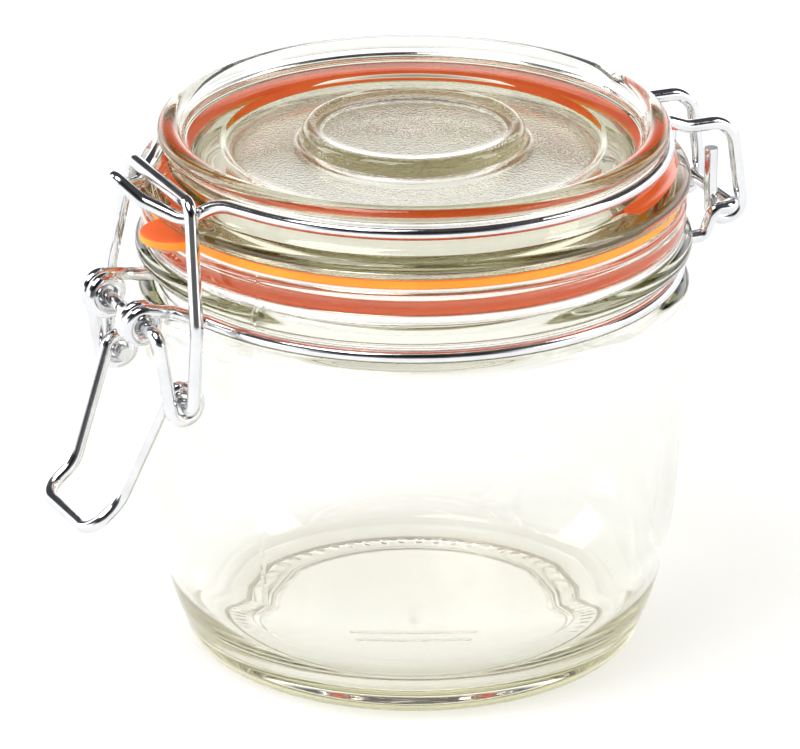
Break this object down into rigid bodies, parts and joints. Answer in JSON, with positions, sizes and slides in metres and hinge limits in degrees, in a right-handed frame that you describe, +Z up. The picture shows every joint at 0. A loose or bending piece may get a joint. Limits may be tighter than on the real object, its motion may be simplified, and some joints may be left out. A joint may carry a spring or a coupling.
{
  "type": "bail clamp jar",
  "caption": "Short glass storage jar with a hinged glass lid, orange rubber seal and a bent wire bail clamp.",
  "frame": {"origin": "centre of the circle that the jar rests on, in the resting plane", "axes": "+Z up along the jar's axis, -Y towards the clamp, +Y towards the hinge, +X along the hinge line"},
  "size_m": [0.0968, 0.1279, 0.0958],
  "materials": {
    "clear_glass": "clear, faint olive tint",
    "orange_rubber": "satin",
    "bright_wire": "bright zinc plated"
  },
  "bodies": {
    "jar": {"jar_body": "clear_glass", "neck_wire": "bright_wire"},
    "lid": {"lid_glass": "clear_glass", "lid_wire": "bright_wire", "rubber_seal": "orange_rubber"},
    "lever": {"lever_wire": "bright_wire"},
    "bail": {"bail_wire": "bright_wire"}
  },
  "joints": [
    {"name": "lid_hinge", "type": "hinge", "parent": "jar", "child": "lid", "pos_m": [0, 0.0568, 0.0745], "axis": [-1, 0, 0], "range_deg": [0, 180]},
    {"name": "lever_pivot", "type": "hinge", "parent": "jar", "child": "lever", "pos_m": [0, -0.055, 0.07], "axis": [-1, 0, 0], "range_deg": [0, 170]},
    {"name": "bail_pivot", "type": "hinge", "parent": "lever", "child": "bail", "pos_m": [0, -0.05, 0.0566], "axis": [-1, 0, 0], "range_deg": [-280.5, 0]}
  ],
  "couplings": [
    {"joint": "bail_pivot", "follows": "lever_pivot", "ratio": -1.65}
  ]
}
